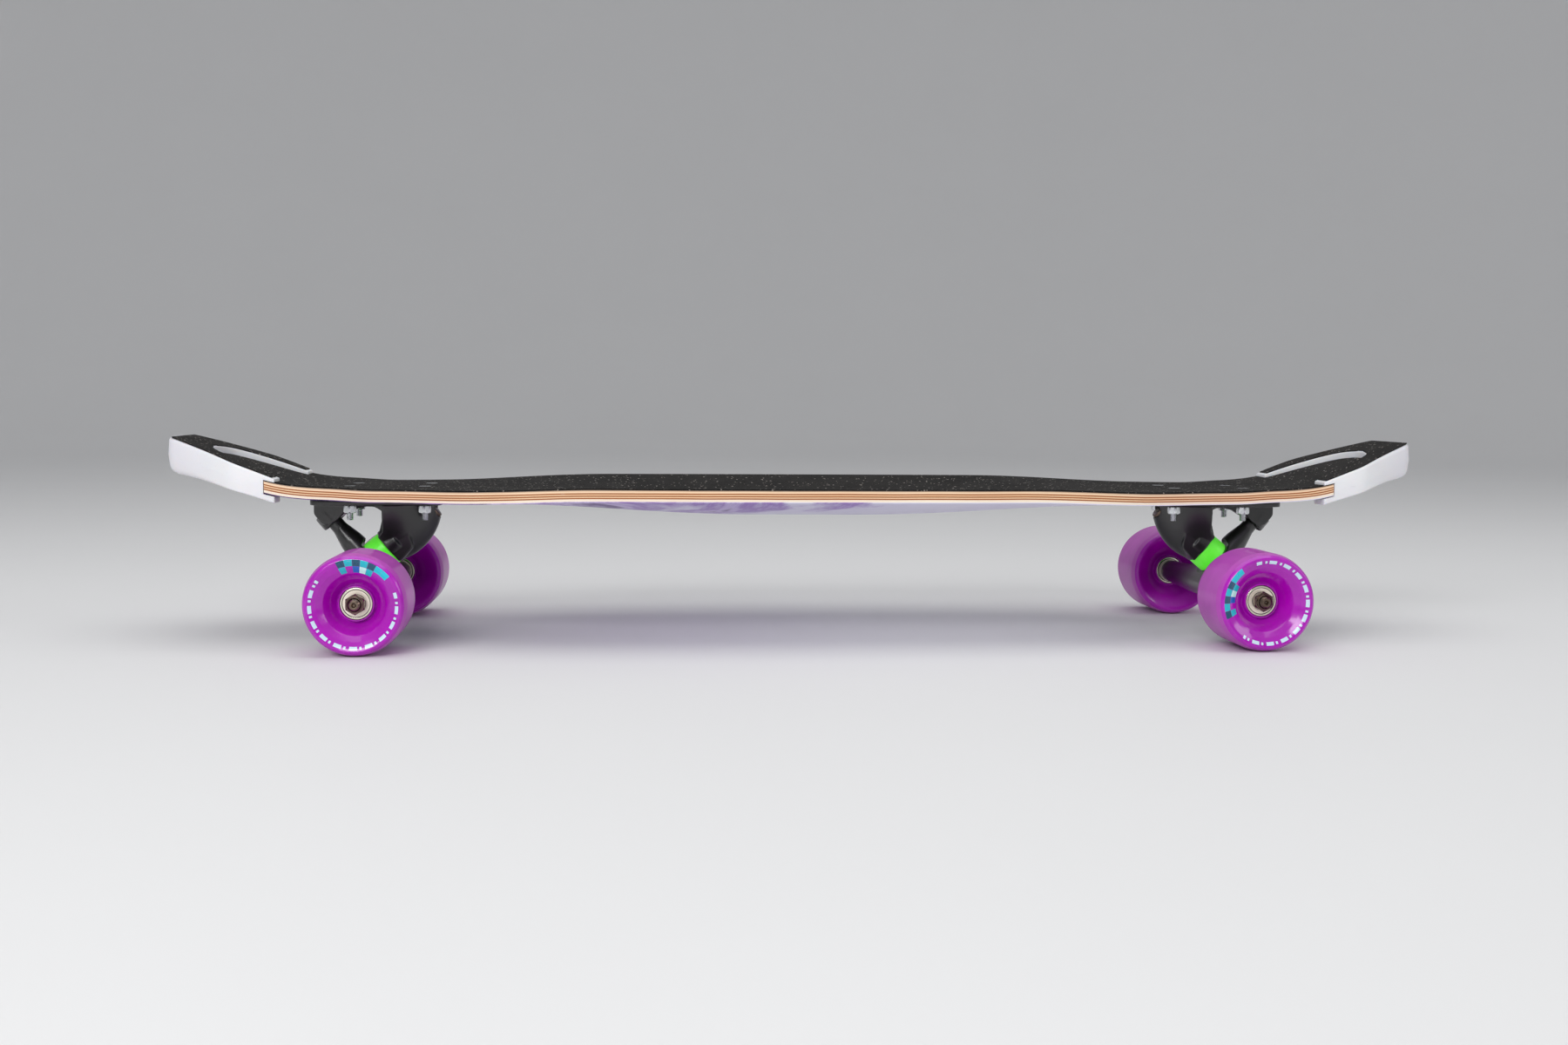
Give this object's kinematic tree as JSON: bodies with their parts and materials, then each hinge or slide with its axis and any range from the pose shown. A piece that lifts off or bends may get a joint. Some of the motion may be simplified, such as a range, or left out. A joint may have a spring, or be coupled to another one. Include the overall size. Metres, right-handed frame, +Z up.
{
  "type": "skateboard",
  "caption": "Longboard skateboard: concave wood deck with wheel cut-aways and moulded kick bumpers, on steering trucks with bushings, axles, bearings and urethane wheels.",
  "frame": {"origin": "on the floor, under the middle of the board", "axes": "+X to the nose, +Y to the board's left, +Z up"},
  "size_m": [0.9264, 0.2608, 0.1459],
  "materials": {
    "deck_maple": "maple laminate with fibreglass skins, edges sanded and clear sealed; pale lavender-white printed underside",
    "grip_paper": "coarse black silicon carbide grit on a black backing",
    "bumper_urethane": "white moulded urethane, satin, slightly translucent",
    "wheel_urethane": "magenta-purple cast urethane: glossy dished faces, matt ground tread",
    "bushing_urethane": "bright green cast urethane, satin",
    "truck_black": "gravity-cast aluminium with a satin black powder coat",
    "cup_plastic": "black moulded urethane",
    "bearing_steel": "bright ground steel, warm nickel tint",
    "dark_steel": "dark bronze-tinted oiled steel",
    "zinc_steel": "bright zinc-plated steel"
  },
  "bodies": {
    "board": {"deck": "deck_maple", "grip_tape": "grip_paper", "nose_bumper": "bumper_urethane", "tail_bumper": "bumper_urethane", "nose_bumper_grip": "grip_paper", "tail_bumper_grip": "grip_paper", "nose_baseplate": "truck_black", "nose_kingpin": "dark_steel", "nose_kingpin_nut": "zinc_steel", "nose_road_washer": "zinc_steel", "nose_board_bushing": "bushing_urethane", "nose_road_bushing": "bushing_urethane", "nose_pivot_cup": "cup_plastic", "nose_inner_left_bolt": "zinc_steel", "nose_inner_right_bolt": "zinc_steel", "nose_outer_left_bolt": "zinc_steel", "nose_outer_right_bolt": "zinc_steel", "tail_baseplate": "truck_black", "tail_kingpin": "dark_steel", "tail_kingpin_nut": "zinc_steel", "tail_road_washer": "zinc_steel", "tail_board_bushing": "bushing_urethane", "tail_road_bushing": "bushing_urethane", "tail_pivot_cup": "cup_plastic", "tail_inner_left_bolt": "zinc_steel", "tail_inner_right_bolt": "zinc_steel", "tail_outer_left_bolt": "zinc_steel", "tail_outer_right_bolt": "zinc_steel"},
    "nose_truck": {"nose_hanger": "truck_black", "nose_axle": "bearing_steel", "nose_left_spacer": "bearing_steel", "nose_left_outer_washer": "bearing_steel", "nose_left_inner_washer": "bearing_steel", "nose_left_axle_nut": "dark_steel", "nose_right_spacer": "bearing_steel", "nose_right_outer_washer": "bearing_steel", "nose_right_inner_washer": "bearing_steel", "nose_right_axle_nut": "dark_steel"},
    "nose_left_roller": {"nose_left_wheel": "wheel_urethane", "nose_left_outer_bearing": "bearing_steel", "nose_left_inner_bearing": "bearing_steel"},
    "nose_right_roller": {"nose_right_wheel": "wheel_urethane", "nose_right_outer_bearing": "bearing_steel", "nose_right_inner_bearing": "bearing_steel"},
    "tail_truck": {"tail_hanger": "truck_black", "tail_axle": "bearing_steel", "tail_left_spacer": "bearing_steel", "tail_left_outer_washer": "bearing_steel", "tail_left_inner_washer": "bearing_steel", "tail_left_axle_nut": "dark_steel", "tail_right_spacer": "bearing_steel", "tail_right_outer_washer": "bearing_steel", "tail_right_inner_washer": "bearing_steel", "tail_right_axle_nut": "dark_steel"},
    "tail_left_roller": {"tail_left_wheel": "wheel_urethane", "tail_left_outer_bearing": "bearing_steel", "tail_left_inner_bearing": "bearing_steel"},
    "tail_right_roller": {"tail_right_wheel": "wheel_urethane", "tail_right_outer_bearing": "bearing_steel", "tail_right_inner_bearing": "bearing_steel"}
  },
  "joints": [
    {"name": "nose_steer", "type": "hinge", "parent": "board", "child": "nose_truck", "pos_m": [0.32347, 0, 0.05111], "axis": [0.6428, 0, 0.766], "range_deg": [-15, 15], "stiffness_Nm_per_rad": 30, "deforming": ["nose_board_bushing", "nose_road_bushing"]},
    {"name": "nose_left_spin", "type": "hinge", "parent": "nose_truck", "child": "nose_left_roller", "pos_m": [0.3147, 0.103, 0.035], "axis": [0, 1, 0], "continuous": true},
    {"name": "nose_right_spin", "type": "hinge", "parent": "nose_truck", "child": "nose_right_roller", "pos_m": [0.3147, -0.103, 0.035], "axis": [0, 1, 0], "continuous": true},
    {"name": "tail_steer", "type": "hinge", "parent": "board", "child": "tail_truck", "pos_m": [-0.32347, 0, 0.05111], "axis": [-0.6428, 0, 0.766], "range_deg": [-15, 15], "stiffness_Nm_per_rad": 30, "deforming": ["tail_board_bushing", "tail_road_bushing"]},
    {"name": "tail_left_spin", "type": "hinge", "parent": "tail_truck", "child": "tail_left_roller", "pos_m": [-0.3147, 0.103, 0.035], "axis": [0, 1, 0], "continuous": true},
    {"name": "tail_right_spin", "type": "hinge", "parent": "tail_truck", "child": "tail_right_roller", "pos_m": [-0.3147, -0.103, 0.035], "axis": [0, 1, 0], "continuous": true}
  ]
}
